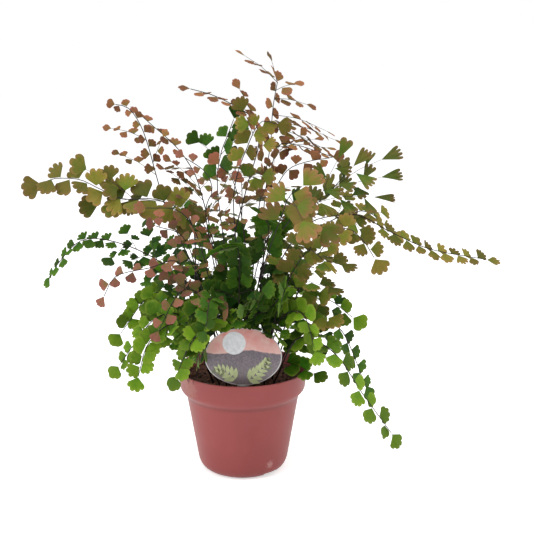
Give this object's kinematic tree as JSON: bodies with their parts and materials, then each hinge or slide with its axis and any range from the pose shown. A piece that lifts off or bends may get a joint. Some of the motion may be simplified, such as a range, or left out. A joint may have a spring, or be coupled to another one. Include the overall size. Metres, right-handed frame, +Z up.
{
  "type": "potted fern",
  "caption": "Maidenhair fern in a round terracotta-red nursery pot: wiry dark stems with small fan-shaped green to bronze leaflets, soil and an oval plant label on a stake.",
  "frame": {"origin": "middle of the pot's base, on the surface that it stands on", "axes": "+Z up along the pot's axis, -Y towards the side that the label faces, +X to the right of someone looking at the label"},
  "size_m": [0.4097, 0.2784, 0.3837],
  "materials": {
    "pot_plastic": "satin terracotta-red plastic",
    "soil": "rough moist peat",
    "label": "printed satin plastic",
    "frond_olive": "satin olive-green leaf with tan edges",
    "frond_bronze": "satin bronze leaf, greener at its base",
    "frond_rust": "satin rust-tan leaf, yellow-green at its base",
    "frond_copper": "satin copper-tan leaf with a yellow-green middle",
    "frond_rose": "satin dusty rose-brown leaf",
    "frond_strap": "satin narrow green leaf with bronze edges",
    "frond_green": "satin deep green leaf",
    "frond_bright": "satin fresh green leaf"
  },
  "bodies": {
    "root": {"pot": "pot_plastic", "soil": "soil", "label": "label", "frond_west_high": "frond_olive", "frond_west_shoulder": "frond_rust", "frond_west_fine": "frond_bronze", "frond_west_arch": "frond_rust", "frond_north_west": "frond_bronze", "frond_crown": "frond_olive", "frond_north_mid": "frond_green", "frond_mid_rose": "frond_rose", "frond_mid_bronze": "frond_rust", "frond_north": "frond_bronze", "frond_north_east": "frond_bronze", "frond_east_ridge": "frond_bronze", "frond_east_high": "frond_strap", "frond_east_mid": "frond_olive", "frond_east_long": "frond_olive", "frond_east_low": "frond_olive", "frond_near_bronze": "frond_copper", "frond_near_right": "frond_olive", "frond_west_mid": "frond_green", "frond_west_rose": "frond_rose", "frond_west_inner": "frond_rose", "frond_mound_w1": "frond_bright", "frond_mound_w2": "frond_bright", "frond_mound_w3": "frond_bright", "frond_mound_w4": "frond_bright", "frond_mound_w5": "frond_rose", "frond_mound_c1": "frond_green", "frond_mound_c2": "frond_green", "frond_mound_c3": "frond_green", "frond_mound_e1": "frond_bright", "frond_mound_e2": "frond_bright", "frond_trail_east": "frond_bright", "frond_drop_east": "frond_green", "frond_centre_1": "frond_green", "frond_centre_2": "frond_green", "frond_centre_3": "frond_green", "frond_centre_4": "frond_green", "frond_back_w": "frond_green", "frond_back_n": "frond_olive", "frond_back_e": "frond_olive", "frond_back_low_w": "frond_bright", "frond_back_low_e": "frond_bright"}
  },
  "joints": []
}
